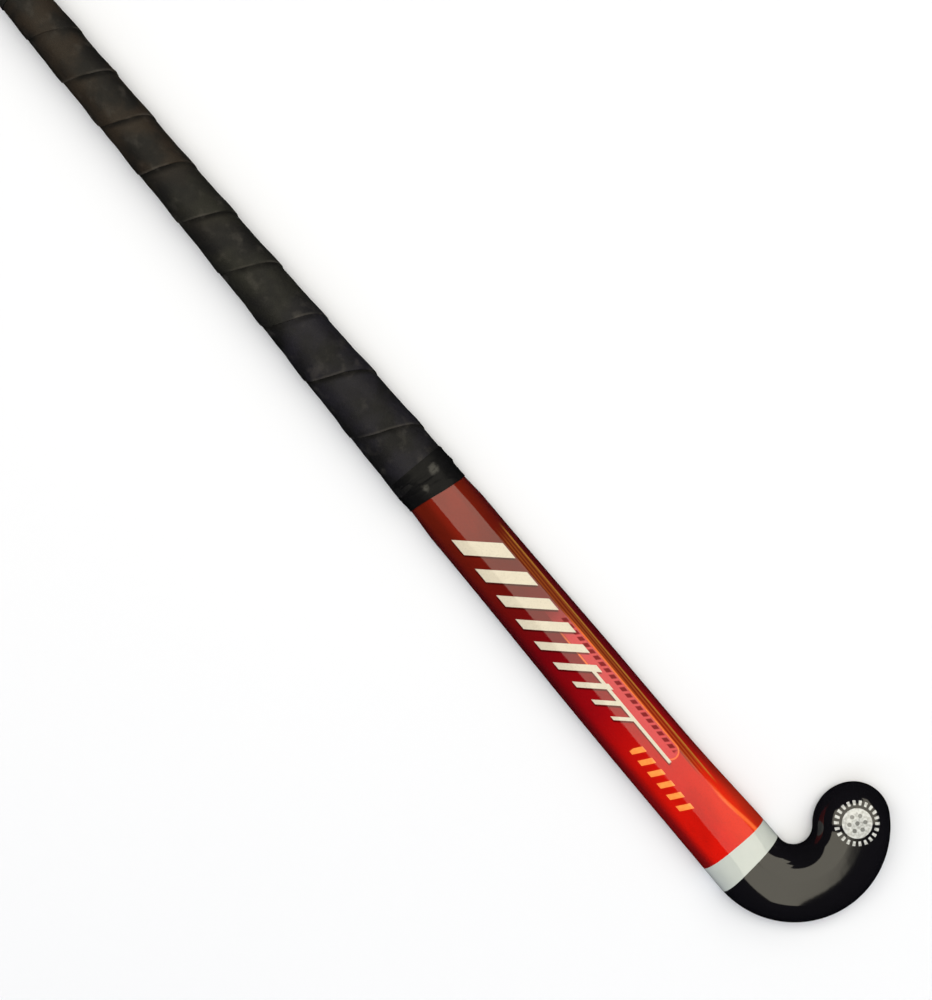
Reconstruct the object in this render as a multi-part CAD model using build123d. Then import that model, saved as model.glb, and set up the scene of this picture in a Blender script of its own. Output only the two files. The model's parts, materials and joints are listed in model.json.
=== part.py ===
"""Field hockey stick, 30 in long, of laminated wood with a spliced cane handle.

The stick lies on its flat playing face. +X runs from the butt of the handle to the hook, +Y points the way
the toe points, and +Z comes out of the rounded back. Sizes are in millimetres. The shapes are first made in
stick coordinates, where X starts at the butt and Y is 0 on the shaft's axis, and are moved to the part's
origin, the middle of the bounding box's base, when they are written.

Every layer of the stick is a copy of one outer surface, let in by some depth: depth 0 is the printed sleeve's
surface, a positive depth is inside it and a negative depth stands proud of it.
"""

from build123d import *

import os
from math import acos, atan2, degrees

# Overall form
TOTAL_LENGTH = 762.0  # 30 in, butt to heel
THICKNESS = 23.5  # flat face to crown of the back
BACK_RADIUS = 18.5  # rounding of the back's two sides
FACE_RADIUS = 4.5  # rounding of the flat face's edges

# Hook: heel and crook are arcs about one centre, and the toe is two arcs that close it
HOOK_OUTER = 59.2
HOOK_INNER = 11.5
HEEL_SIDE_Y = -22.4  # edge of the shaft below the toe, where the hook begins
INSTEP_ANGLE = 52.0  # where the crook turns into the toe's inner side, above +X
INSTEP_RADIUS = 26.0
TIP_RADIUS = 22.0
BEND = Vector(TOTAL_LENGTH - HOOK_OUTER, HEEL_SIDE_Y + HOOK_OUTER)
INSTEP = BEND + Vector(HOOK_INNER + INSTEP_RADIUS, 0).rotate(Axis.Z, INSTEP_ANGLE)

# Shaft in plan: straight and parallel at the shoulder, then one long sweep on each side, and the toe side
# swells into the crook
SHOULDER_X = 425.0
SHOULDER_HALF = 20.7
SWEEP_START = 430.0
WAIST_X = 560.0
WAIST_HALF = 22.2
FLARE_X = 640.0
FLARE_HALF = 23.1

# Handle sections: x, half width, height of the face side, height of the back, edge radius at each
HANDLE_STATIONS = [
    (0.0, 12.7, 2.5, 23.9, 9.4, 11.2),
    (110.0, 13.6, 2.5, 23.9, 8.8, 11.9),
    (220.0, 14.9, 2.5, 23.9, 8.0, 12.7),
    (320.0, 17.3, 2.3, 23.8, 6.6, 14.2),
    (396.0, 18.9, 1.8, 23.7, 5.3, 16.0),
]
SHOULDER_STATION = (SHOULDER_X, SHOULDER_HALF, 0.0, THICKNESS, FACE_RADIUS, BACK_RADIUS)

# Depths of the layers, and the glue line between them
SLEEVE_DEPTH = 0.3
CORE_DEPTH = 1.0
CUSHION_DEPTH = -0.5
GRIP_DEPTH = -1.3
TAPE_THICKNESS = 0.2
BADGE_THICKNESS = 0.12
GLUE = 0.03

# Where the pieces begin and end along the stick
CAP_THICKNESS = 8.5
CAP_SKIRT_END = 22.0
SKIRT_GAP = 1.0  # between the cap's skirt and the layers that begin after it
CAP_EDGE_RADIUS = 7.5
GRIP_START = CAP_THICKNESS + 0.5
CUSHION_END = 368.0
STRIP_STEP = CUSHION_END + 0.5  # past the cushion, the strip lies on the wrapped handle
GRIP_END = HANDLE_STATIONS[-1][0]
TAPE_START = 386.0
TAPE_FOOT = 401.5  # from here on the tape lies on the printed sleeve
TAPE_END = 406.5
SLEEVE_START = 398.0
SPLICE_MOUTH = 330.0
SPLICE_TIP = 480.0
BINDING_START = SPLICE_MOUTH - 6.0
BINDING_END = SPLICE_TIP - 40.0
BAND_START = 687.3
SHELL_START = 694.0
BAND_END_X = 699.8  # the band's far edge crosses the crook's height here, and leans over
BAND_END_ANGLE = 5.5

# Inside: splice wedge, rubber inserts, cane splints and bent laminations
MOUTH_HALF = 14.6
TIP_HALF = 2.0
RUBBER_Y = 5.0
RUBBER_THICKNESS = 1.2
CANE_ROWS = 3
CANE_LAYERS = 3
LAMINA_COUNT = 7
LAMINA_TURN = 210.0  # how far each lamina is bent, in degrees, which takes it past the toe's inner side
LAMINA_REACH = 2.0  # the first and last laminae reach past the core, so that nothing is left out
RUN_OUT_X = 440.0  # the crook's lamina tapers out here, and the next one takes its place up to the splice

# Badge on the toe
BADGE_RADIUS = 14.5
BADGE_CENTRE = Vector(723.2, 66.9)

FAR = 100.0  # clear of the stick on every side


def slice_between(x_start, x_end):
    """A block that keeps only the stick between two stations."""
    return Pos((x_start + x_end) / 2, 0, 0) * Box(x_end - x_start, 4 * FAR, 2 * FAR)


def handle_section(station, depth):
    """The handle's section at a station: flat face below, rounded back above."""
    x, half, low, high, face_radius, back_radius = station
    half -= depth
    low += depth
    high -= depth
    near = face_radius - depth
    far = back_radius - depth
    diagonal = 1 - 0.5**0.5  # from a corner to its arc, along each side, as a share of the radius
    corners = []
    for side in (1, -1):
        face_arc = [
            (side * (half - near), low),
            (side * (half - diagonal * near), low + diagonal * near),
            (side * half, low + near),
        ]
        back_arc = [
            (side * half, high - far),
            (side * (half - diagonal * far), high - diagonal * far),
            (side * (half - far), high),
        ]
        corners += [face_arc, back_arc] if side == 1 else [back_arc[::-1], face_arc[::-1]]
    arcs = [ThreePointArc(*corner) for corner in corners]
    lines = [Line(corners[i][-1], corners[(i + 1) % 4][0]) for i in range(4)]
    edges = [edge for pair in zip(arcs, lines) for edge in pair]
    plane = Plane(origin=(x, 0, 0), x_dir=(0, 1, 0), z_dir=(1, 0, 0))
    return plane * make_face(edges)


def handle_body(depth):
    """The handle from the butt to the shoulder, let in by depth."""
    grip_length = loft([handle_section(station, depth) for station in HANDLE_STATIONS])
    shoulder = loft([handle_section(station, depth) for station in (HANDLE_STATIONS[-1], SHOULDER_STATION)])
    return grip_length + shoulder


def direction(start, end):
    """The angle above +X, in degrees, at which one point sees another."""
    across = end - start
    return degrees(atan2(across.Y, across.X))


def tip_centre():
    """Centre of the toe's tip, which touches the heel's arc and the instep's arc from inside."""
    span = (INSTEP - BEND).length
    from_bend = HOOK_OUTER - TIP_RADIUS
    from_instep = INSTEP_RADIUS - TIP_RADIUS
    lean = acos((span**2 + from_bend**2 - from_instep**2) / (2 * span * from_bend))
    return BEND + Vector(from_bend, 0).rotate(Axis.Z, INSTEP_ANGLE + degrees(lean))


def blade_outline(depth):
    """The shaft, hook and toe in plan, from the shoulder on, let in by depth."""
    shoulder = SHOULDER_HALF - depth
    tip = tip_centre()
    tip_end = direction(BEND, tip)
    instep_end = direction(INSTEP, tip)
    heel_start = Line((SHOULDER_X, -shoulder), (SWEEP_START, -shoulder))
    heel_side = Spline(
        (SWEEP_START, -shoulder),
        (WAIST_X, depth - WAIST_HALF),
        (BEND.X, depth + HEEL_SIDE_Y),
        tangents=[(1, 0), (1, 0)],
    )
    heel = CenterArc(BEND, HOOK_OUTER - depth, -90, 90 + tip_end)
    toe_tip = CenterArc(tip, TIP_RADIUS - depth, tip_end, instep_end - tip_end)
    instep = CenterArc(INSTEP, INSTEP_RADIUS - depth, instep_end, 180 + INSTEP_ANGLE - instep_end)
    crook = CenterArc(BEND, HOOK_INNER + depth, -90, 90 + INSTEP_ANGLE)
    toe_side = Spline(
        (SWEEP_START, shoulder),
        (WAIST_X, WAIST_HALF - depth),
        (FLARE_X, FLARE_HALF - depth),
        (BEND.X, BEND.Y - HOOK_INNER - depth),
        tangents=[(1, 0), (1, 0)],
    )
    toe_start = Line((SHOULDER_X, shoulder), (SWEEP_START, shoulder))
    end = Line((SHOULDER_X, -shoulder), (SHOULDER_X, shoulder))
    sides = [heel_start, heel_side, heel, toe_tip, instep, crook, toe_side, toe_start, end]
    return make_face(sides)


def blade_body(depth):
    """The shaft, hook and toe as a D-section with a flat face, let in by depth."""
    body = extrude(Pos(0, 0, depth) * blade_outline(depth), THICKNESS - 2 * depth)
    for level, radius in ((THICKNESS - depth, BACK_RADIUS - depth), (depth, FACE_RADIUS - depth)):
        rim = body.faces().filter_by(Plane.XY).sort_by(Axis.Z)[-1 if level > THICKNESS / 2 else 0]
        edges = [edge for edge in rim.edges() if edge.center().X > SHOULDER_X + 1]
        body = fillet(edges, radius)
    return body


def stick_body(depth):
    """The whole stick, let in by depth."""
    return handle_body(depth) + blade_body(depth)


def end_cap():
    """Rubber cap over the butt: a rounded head, and a skirt that fits round the cane."""
    head = handle_body(GRIP_DEPTH) & slice_between(0, CAP_THICKNESS)
    rim = head.faces().sort_by(Axis.X)[0].edges()
    head = fillet(rim, CAP_EDGE_RADIUS)
    skirt = handle_body(CUSHION_DEPTH + GLUE) - handle_body(CORE_DEPTH - GLUE)
    return head + (skirt & slice_between(CAP_THICKNESS, CAP_SKIRT_END))


def wedge():
    """Plan of the handle block: full width to the splice's mouth, then a long wedge to its tip."""
    outline = Polyline(
        (CAP_THICKNESS + GLUE, -FAR),
        (SPLICE_MOUTH, -FAR),
        (SPLICE_MOUTH, -MOUTH_HALF),
        (SPLICE_TIP, -TIP_HALF),
        (SPLICE_TIP, TIP_HALF),
        (SPLICE_MOUTH, MOUTH_HALF),
        (SPLICE_MOUTH, FAR),
        (CAP_THICKNESS + GLUE, FAR),
        close=True,
    )
    return extrude(make_face(outline), FAR)


def handle_pieces(core):
    """Cane splints in three rows of three, with a rubber insert between each two rows."""
    block = core & wedge()
    pieces = {}
    bounds_y = [-FAR, -RUBBER_Y, RUBBER_Y, FAR]
    low, high = HANDLE_STATIONS[0][2] + CORE_DEPTH, HANDLE_STATIONS[0][3] - CORE_DEPTH
    bounds_z = [-FAR] + [low + (high - low) * k / CANE_LAYERS for k in range(1, CANE_LAYERS)] + [FAR]
    number = 0
    for row in range(CANE_ROWS):
        y_low = bounds_y[row] + RUBBER_THICKNESS / 2
        y_high = bounds_y[row + 1] - RUBBER_THICKNESS / 2
        for layer in range(CANE_LAYERS):
            z_low, z_high = bounds_z[layer], bounds_z[layer + 1]
            room = Box(2 * TOTAL_LENGTH, y_high - y_low, z_high - z_low)
            number += 1
            place = Pos(0, (y_low + y_high) / 2, (z_low + z_high) / 2)
            pieces[f"cane_splint_{number}"] = block & place * room
    for number, y in enumerate((-RUBBER_Y, RUBBER_Y), start=1):
        room = Pos(0, y, 0) * Box(2 * TOTAL_LENGTH, RUBBER_THICKNESS, 2 * FAR)
        pieces[f"rubber_insert_{number}"] = block & room
    return pieces


def lamina_band(inner, outer):
    """A strip of veneer that runs straight down the shaft and is bent round the hook's centre."""
    straight_end = BEND - Vector(0, inner)
    end_angle = LAMINA_TURN - 90
    bent = Vector(inner, 0).rotate(Axis.Z, end_angle), Vector(outer, 0).rotate(Axis.Z, end_angle)
    edges = [
        Line((SPLICE_MOUTH, BEND.Y - inner), straight_end),
        CenterArc(BEND, inner, -90, LAMINA_TURN),
        Line(BEND + bent[0], BEND + bent[1]),
        CenterArc(BEND, outer, -90, LAMINA_TURN),
        Line(BEND - Vector(0, outer), (SPLICE_MOUTH, BEND.Y - outer)),
        Line((SPLICE_MOUTH, BEND.Y - outer), (SPLICE_MOUTH, BEND.Y - inner)),
    ]
    return extrude(make_face(edges), FAR)


def head_laminae(core):
    """Mulberry laminations of the shaft and hook, notched for the handle's wedge."""
    block = core - wedge()
    inner = HOOK_INNER + CORE_DEPTH
    step = (HOOK_OUTER - HOOK_INNER - 2 * CORE_DEPTH) / LAMINA_COUNT
    bands = []
    for k in range(LAMINA_COUNT):
        low = inner + k * step - (LAMINA_REACH if k == 0 else 0)
        high = inner + (k + 1) * step + (LAMINA_REACH if k == LAMINA_COUNT - 1 else 0)
        bands.append(lamina_band(low, high))
    run_out = slice_between(0, RUN_OUT_X)
    bands[1] = bands[1] + (bands[0] & run_out)
    bands[0] = bands[0] - run_out
    return {f"head_lamina_{k + 1}": block & band for k, band in enumerate(bands)}


def below_neck():
    """Everything on the handle's side of the neck band's leaning far edge."""
    block = Pos(-FAR, -FAR, 0) * Box(2 * FAR, 2 * FAR, 2 * FAR)
    return Pos(BAND_END_X, BEND.Y, 0) * Rot(0, 0, BAND_END_ANGLE) * block


def skins():
    """The wrapped layers over the wood, from the handle to the toe."""
    wood = stick_body(CORE_DEPTH - GLUE)
    wrap = stick_body(SLEEVE_DEPTH) - wood
    surface = stick_body(0)
    film = surface - stick_body(SLEEVE_DEPTH - GLUE)
    handle_side = below_neck()
    shell = ((surface - wood) & slice_between(BAND_START, TOTAL_LENGTH)) - handle_side
    rebate = wrap & handle_side & slice_between(SHELL_START, TOTAL_LENGTH)
    badge = blade_body(-BADGE_THICKNESS - GLUE) - blade_body(-GLUE)
    badge = badge & Pos(BADGE_CENTRE) * Pos(0, 0, THICKNESS) * Cylinder(BADGE_RADIUS, THICKNESS)
    return {
        "twine_binding": wrap & slice_between(CAP_SKIRT_END + SKIRT_GAP, BINDING_START),
        "splice_binding": wrap & slice_between(BINDING_START, BINDING_END),
        "glass_fibre_wrap": wrap & slice_between(BINDING_END, SHELL_START),
        "printed_sleeve": film & slice_between(SLEEVE_START, BAND_START),
        "neck_band": film & handle_side & slice_between(BAND_START, TOTAL_LENGTH),
        "head_shell": shell + rebate,
        "toe_badge": badge,
    }


def finish_tape():
    """Tape that closes the grip's lower end: over the grip, then down onto the printed sleeve."""
    over_grip, on_sleeve = GRIP_DEPTH - GLUE, -GLUE
    solids = []
    for extra in (TAPE_THICKNESS, 0):
        wound = handle_body(over_grip - extra) & slice_between(TAPE_START, GRIP_END)
        foot = [
            handle_section(station_at(GRIP_END), over_grip - extra),
            handle_section(station_at(TAPE_FOOT), on_sleeve - extra),
            handle_section(station_at(TAPE_END), on_sleeve - extra),
        ]
        solids.append(wound + loft(foot, ruled=True))
    return solids[0] - solids[1]


def station_at(x):
    """A section between the last handle station and the shoulder, which are joined by straight lines."""
    first, last = HANDLE_STATIONS[-1], SHOULDER_STATION
    share = (x - first[0]) / (last[0] - first[0])
    return tuple(a + (b - a) * share for a, b in zip(first, last))


def grip_pieces():
    """Foam cushion round the handle, and the wound strip over it, as one plain sleeve."""
    under = handle_body(SLEEVE_DEPTH - GLUE)
    cushion = handle_body(CUSHION_DEPTH) - under
    strip = handle_body(GRIP_DEPTH)
    on_cushion = handle_body(CUSHION_DEPTH - GLUE)
    upper = (strip - on_cushion) & slice_between(GRIP_START, STRIP_STEP)
    lower = (strip - under) & slice_between(STRIP_STEP, GRIP_END)
    return {
        "grip_cushion": cushion & slice_between(CAP_SKIRT_END + SKIRT_GAP, CUSHION_END),
        "grip_strip": upper + lower,
        "finish_tape": finish_tape(),
    }


def main():
    core = stick_body(CORE_DEPTH)
    pieces = {"end_cap": end_cap()}
    pieces.update(handle_pieces(core))
    pieces.update(head_laminae(core))
    pieces.update(skins())
    pieces.update(grip_pieces())
    toe_side = tip_centre().Y + TIP_RADIUS
    heel_side = BEND.Y - HOOK_OUTER
    to_origin = Pos(-TOTAL_LENGTH / 2, -(toe_side + heel_side) / 2, 0)
    os.makedirs("parts", exist_ok=True)
    for name, piece in pieces.items():
        export_step(to_origin * piece, f"parts/{name}.step")


main()
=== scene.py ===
"""The looks of a field hockey stick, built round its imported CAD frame.

The stick lies on its flat face. +X runs from the butt to the heel, +Y the way the toe points, +Z out of
the rounded back. Lengths in the constants are millimetres in stick coordinates: x from the butt, y from the
shaft's axis, z from the flat face. Meshes are made in those and written in metres at the frame's own place.
"""
import json
import math

import bmesh
import bpy
import numpy as np
from mathutils import Matrix, Vector
from mathutils.bvhtree import BVHTree


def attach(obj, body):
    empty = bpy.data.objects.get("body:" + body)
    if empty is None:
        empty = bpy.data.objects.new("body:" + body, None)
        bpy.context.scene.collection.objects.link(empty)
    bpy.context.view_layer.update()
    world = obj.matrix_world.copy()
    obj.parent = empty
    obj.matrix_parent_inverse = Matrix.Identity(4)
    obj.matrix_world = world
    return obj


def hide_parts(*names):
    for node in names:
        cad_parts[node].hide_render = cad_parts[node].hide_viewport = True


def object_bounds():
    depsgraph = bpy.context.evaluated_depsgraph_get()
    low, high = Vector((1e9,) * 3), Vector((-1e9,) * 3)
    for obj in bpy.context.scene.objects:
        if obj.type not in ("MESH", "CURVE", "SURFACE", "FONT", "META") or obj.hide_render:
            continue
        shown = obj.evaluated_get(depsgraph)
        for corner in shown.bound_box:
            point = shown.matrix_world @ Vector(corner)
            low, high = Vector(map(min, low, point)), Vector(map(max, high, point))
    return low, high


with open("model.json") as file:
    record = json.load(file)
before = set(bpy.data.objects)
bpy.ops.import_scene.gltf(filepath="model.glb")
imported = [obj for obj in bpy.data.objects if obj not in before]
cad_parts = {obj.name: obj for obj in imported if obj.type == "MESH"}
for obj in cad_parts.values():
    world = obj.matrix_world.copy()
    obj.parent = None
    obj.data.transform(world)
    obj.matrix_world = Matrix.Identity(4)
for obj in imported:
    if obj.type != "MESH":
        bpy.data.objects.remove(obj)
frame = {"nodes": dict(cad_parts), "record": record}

cad_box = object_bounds()

# ---------------------------------------------------------------- driving dimensions, as in the CAD model

MM = 0.001
HEEL_SIDE_Y = -22.4
THICKNESS = 23.5
FACE_RADIUS = 4.5
WALL_TOP = 5.0
CROWN_DEPTH = 20.5  # the back rises from the top of the wall to this far in, then it is level
SHAFT_FULLNESS = 2.4  # a fuller back is flatter on top and steeper at its sides
HEEL_FULLNESS = 3.0
CROOK_FULLNESS = 1.9  # the toe side of the head

HOOK_OUTER = 59.2
HOOK_INNER = 11.5
INSTEP_ANGLE = 52.0
INSTEP_RADIUS = 26.0
TIP_RADIUS = 22.0

# The sides sweep from just below the shoulder to the hook; knots: x, distance from y = 0
SHOULDER_X = 425.0
SHOULDER_HALF = 20.7
HEEL_SWEEP = [(430.0, SHOULDER_HALF), (560.0, 22.2), (702.8, 22.4)]
TOE_SWEEP = [(430.0, SHOULDER_HALF), (560.0, 22.2), (640.0, 23.1), (702.8, 25.3)]

# Handle sections: x, half width, height of the face side, height of the back, edge radius at each.
# The rows at 50 and 358 lie on the CAD's curve, between its own stations
HANDLE_STATIONS = [
    (0.0, 12.7, 2.5, 23.9, 9.4, 11.2),
    (50.0, 13.3, 2.5, 23.9, 9.0, 11.5),
    (110.0, 13.6, 2.5, 23.9, 8.8, 11.9),
    (220.0, 14.9, 2.5, 23.9, 8.0, 12.7),
    (320.0, 17.3, 2.3, 23.8, 6.4, 14.2),
    (358.0, 18.3, 2.1, 23.7, 5.6, 15.0),
    (396.0, 18.9, 1.8, 23.7, 5.3, 16.0),
    (425.0, 20.7, 0.0, 23.5, 4.5, 18.5),
]

SLEEVE_START = 398.0
BAND_START = 687.3
BAND_END_X = 699.8
BAND_END_LEAN = math.radians(5.5)
BAND_SIDE = -84.5  # degrees from +X: rings near the band point this way at most, square to its far edge
SKIN = 0.25
HEAD_SKIN = 0.9

GRIP_START = 9.0
GRIP_END = 396.0
TAPE_START = 384.5
TAPE_FOOT = 401.5
TAPE_END = 406.3

BADGE_X, BADGE_Y = 723.2, 66.9

LENGTH = (cad_box[1] - cad_box[0])[0] / MM
BEND = np.array([LENGTH - HOOK_OUTER, HEEL_SIDE_Y + HOOK_OUTER])
ORIGIN = np.array([cad_box[0][0] / MM, cad_box[0][1] / MM - HEEL_SIDE_Y, 0.0])


def stick_place(x, y, z):
    """A place in stick coordinates as a place in the scene."""
    return Vector(((np.array([x, y, z]) + ORIGIN) * MM).tolist())


def unit(degrees):
    """The direction at an angle above +X, in the plane of the flat face."""
    return np.array([math.cos(math.radians(degrees)), math.sin(math.radians(degrees))])


def ease(t):
    """0 to 1, level at both ends."""
    return t * t * (3 - 2 * t)


def hermite(xs, ys, slopes, x):
    """The cubic curve that has these values and slopes at its knots."""
    i = np.clip(np.searchsorted(xs, x) - 1, 0, len(xs) - 2)
    width = xs[i + 1] - xs[i]
    t = (np.clip(x, xs[0], xs[-1]) - xs[i]) / width
    level = ys[i] * (2 * t**3 - 3 * t**2 + 1) + ys[i + 1] * (3 * t**2 - 2 * t**3)
    return level + width * (slopes[i] * (t**3 - 2 * t**2 + t) + slopes[i + 1] * (t**3 - t**2))


def smooth_curve(knots, column, x):
    """A smooth curve through one column of a table of knots, whose first column is x."""
    xs = np.array([knot[0] for knot in knots])
    ys = np.array([knot[column] for knot in knots])
    return hermite(xs, ys, np.gradient(ys, xs), x)


def sweep(knots, x):
    """The smoothest curve through knots of (x, y) that runs level at both its ends."""
    xs, ys = np.array(knots).T
    width = np.diff(xs)
    rise = np.diff(ys) / width
    system = np.eye(len(xs))
    target = np.zeros(len(xs))
    for i in range(1, len(xs) - 1):
        before, after = 1 / width[i - 1], 1 / width[i]
        system[i, i - 1:i + 2] = before, 2 * (before + after), after
        target[i] = 3 * (rise[i - 1] * before + rise[i] * after)
    return hermite(xs, ys, np.linalg.solve(system, target), x)


# ---------------------------------------------------------------- mesh making


def make_piece(name, points, faces, material, slot, node, **marks):
    """A mesh from points in stick coordinates, riding on the stick and standing for a CAD node.

    marks are named values, one for each point, that its material can read.
    """
    mesh = bpy.data.meshes.new(name)
    mesh.from_pydata(((np.asarray(points) + ORIGIN) * MM).tolist(), [], faces)
    for mark, values in marks.items():
        mesh.attributes.new(mark, "FLOAT", "POINT").data.foreach_set("value", values)
    mesh.materials.append(material)
    obj = bpy.data.objects.new(name, mesh)
    bpy.context.scene.collection.objects.link(obj)
    weld(mesh)
    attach(obj, "root")
    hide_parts(node)
    return obj


def weld(mesh, distance=0.004 * MM):
    """Joins points that coincide and turns every face outwards."""
    work = bmesh.new()
    work.from_mesh(mesh)
    bmesh.ops.remove_doubles(work, verts=work.verts, dist=distance)
    bmesh.ops.dissolve_degenerate(work, edges=work.edges, dist=distance)
    bmesh.ops.recalc_face_normals(work, faces=work.faces)
    work.to_mesh(mesh)
    work.free()


def shade(obj, angle=40.0):
    """Smooth shading with creases where faces meet at more than an angle."""
    for polygon in obj.data.polygons:
        polygon.use_smooth = True
    obj.data.set_sharp_from_angle(angle=math.radians(angle))


def thicken(obj, depth):
    """Gives an open skin its thickness, inwards, and applies it."""
    modifier = obj.modifiers.new("thickness", "SOLIDIFY")
    modifier.thickness = depth * MM
    modifier.offset = -1.0
    modifier.use_even_offset = False
    bpy.context.view_layer.update()
    depsgraph = bpy.context.evaluated_depsgraph_get()
    solid = bpy.data.meshes.new_from_object(obj.evaluated_get(depsgraph))
    obj.modifiers.clear()
    old = obj.data
    obj.data = solid
    bpy.data.meshes.remove(old)


def grid_faces(rows, columns):
    """Quads of a tube: rows along it, columns round it."""
    faces = []
    for row in range(0, (rows - 1) * columns, columns):
        for c in range(columns):
            here, there = row + c, row + (c + 1) % columns
            faces.append((here, there, there + columns, here + columns))
    return faces


# ---------------------------------------------------------------- the blade's skin: sleeve, neck band, head

EDGE_POINTS = 8
BACK_POINTS = 34
BAND_ROWS = 12
BEND_ROWS, TIP_ROWS = 96, 72
TOE_START_X = BAND_END_X + 1.1  # where the head starts on its toe side
HEEL_START = -87.4  # where it starts on its heel side, in degrees round the bend


def skin_profile(fullness):
    """Half of a section from the face's middle to the back's, as rows of distance in and height."""
    flat = [(inset, 0.0) for inset in (CROWN_DEPTH, 15.0, 9.0)]
    turn = np.linspace(0, math.pi / 2, EDGE_POINTS)
    edge = [(FACE_RADIUS * (1 - math.sin(t)), FACE_RADIUS * (1 - math.cos(t))) for t in turn]
    # closest together on the steep part
    reach = 1 - np.cos(np.linspace(0, math.pi / 2, BACK_POINTS)) ** 1.5
    rise = np.sqrt(1 - (1 - reach) ** fullness)
    crown = list(zip(CROWN_DEPTH * reach, WALL_TOP + (THICKNESS - WALL_TOP) * rise))
    return np.array(flat + edge + crown)


# One profile for the heel side and one for the toe side
SHAFT_PROFILES = np.array([skin_profile(SHAFT_FULLNESS), skin_profile(SHAFT_FULLNESS)])
HEAD_PROFILES = np.array([skin_profile(HEEL_FULLNESS), skin_profile(CROOK_FULLNESS)])


def skin_row(heel, toe, profiles, scale=1.0, low=0.0, high=THICKNESS):
    """One closed ring round the stick. heel and toe are (point, direction inwards) on the two sides."""
    ring = []
    for (point, inwards), profile, order in ((heel, profiles[0], 1), (toe, profiles[1], -1)):
        plan = np.asarray(point) + np.outer(profile[:, 0] * scale, inwards)
        heights = low + profile[:, 1] * (high - low) / THICKNESS
        ring.append(np.column_stack([plan, heights])[::order])
    return np.vstack(ring)


def shaft_row(x, profiles=SHAFT_PROFILES):
    """The ring round the shaft at one station."""
    if x < SHOULDER_X:
        half, low, high = (smooth_curve(HANDLE_STATIONS, column, x) for column in (1, 2, 3))
        scale = half / SHOULDER_HALF
        return skin_row(((x, -half), (0, 1)), ((x, half), (0, -1)), profiles, scale, low, high)
    return skin_row(((x, -sweep(HEEL_SWEEP, x)), (0, 1)), ((x, sweep(TOE_SWEEP, x)), (0, -1)), profiles)


def lean_to_band_end(row, share):
    """Moves a ring from square towards the plane of the band's far edge."""
    plane_x = BAND_END_X + (BEND[1] - row[:, 1]) * math.tan(BAND_END_LEAN)
    row[:, 0] += share * (plane_x - row[:, 0])
    return row


def arc_path(centre, radius, start, end, inwards, step=1.6):
    """Points and inward directions along an arc, about step millimetres apart, without its last point."""
    count = max(2, round(abs(math.radians(end - start)) * radius / step))
    angles = np.linspace(start, end, count, endpoint=False)
    return [(centre + radius * unit(a), inwards * unit(max(a, BAND_SIDE))) for a in angles]


def resample(path, count):
    """A path with count points, evenly spaced along it."""
    points = np.array([point for point, _ in path])
    inwards = np.array([direction for _, direction in path])
    along = np.concatenate([[0], np.cumsum(np.linalg.norm(np.diff(points, axis=0), axis=1))])
    at = np.linspace(0, along[-1], count)
    columns = [np.interp(at, along, column) for column in np.hstack([points, inwards]).T]
    result = np.array(columns).T
    result[:, 2:] /= np.linalg.norm(result[:, 2:], axis=1)[:, None]
    return [(row[:2], row[2:]) for row in result]


def hook_sides():
    """Pairs of (point, direction inwards) on the hook's heel and toe sides, until they meet at its tip."""
    toe_bend = [((TOE_START_X, BEND[1] - HOOK_INNER), unit(BAND_SIDE))]
    toe_bend += arc_path(BEND, HOOK_INNER, -90, INSTEP_ANGLE, 1, step=0.5)
    toe_bend.append((BEND + HOOK_INNER * unit(INSTEP_ANGLE), unit(INSTEP_ANGLE)))
    heel_bend = arc_path(BEND, HOOK_OUTER, HEEL_START, INSTEP_ANGLE, -1)
    heel_bend.append((BEND + HOOK_OUTER * unit(INSTEP_ANGLE), -unit(INSTEP_ANGLE)))

    # the tip's arc touches the outer arc round the bend and the instep's arc
    span = HOOK_INNER + INSTEP_RADIUS
    instep = BEND + span * unit(INSTEP_ANGLE)
    from_bend = HOOK_OUTER - TIP_RADIUS
    from_instep = INSTEP_RADIUS - TIP_RADIUS
    lean = math.acos((span**2 + from_bend**2 - from_instep**2) / (2 * span * from_bend))
    tip_start = INSTEP_ANGLE + math.degrees(lean)
    tip = BEND + from_bend * unit(tip_start)
    across = tip - instep
    instep_end = math.degrees(math.atan2(across[1], across[0]))
    tip_middle = (tip_start + instep_end) / 2

    toe_end = arc_path(instep, INSTEP_RADIUS, 180 + INSTEP_ANGLE, instep_end, -1, step=0.4)
    toe_end += arc_path(tip, TIP_RADIUS, instep_end, tip_middle, -1, step=0.4)
    heel_end = arc_path(BEND, HOOK_OUTER, INSTEP_ANGLE, tip_start, -1, step=0.4)
    heel_end += arc_path(tip, TIP_RADIUS, tip_start, tip_middle, -1, step=0.4)
    for path in (heel_end, toe_end):
        path.append((tip + TIP_RADIUS * unit(tip_middle), -unit(tip_middle)))

    pairs = list(zip(resample(heel_bend, BEND_ROWS), resample(toe_bend, BEND_ROWS)))
    return pairs + list(zip(resample(heel_end, TIP_ROWS), resample(toe_end, TIP_ROWS)))[1:]


def head_rows():
    """Rings round the hook, from the band's far edge to the toe's tip."""
    both = (HEAD_PROFILES + HEAD_PROFILES[::-1]) / 2
    rows = []
    for k, (heel, toe) in enumerate(hook_sides()):
        # the two sides meet at the tip, so they grow alike on the way there
        t = min(max((k - BEND_ROWS) / (TIP_ROWS - 2), 0), 1)
        rows.append(skin_row(heel, toe, HEAD_PROFILES + (both - HEAD_PROFILES) * ease(t)))
    rows[0] = lean_to_band_end(rows[0], 1.0)
    return rows


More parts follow.
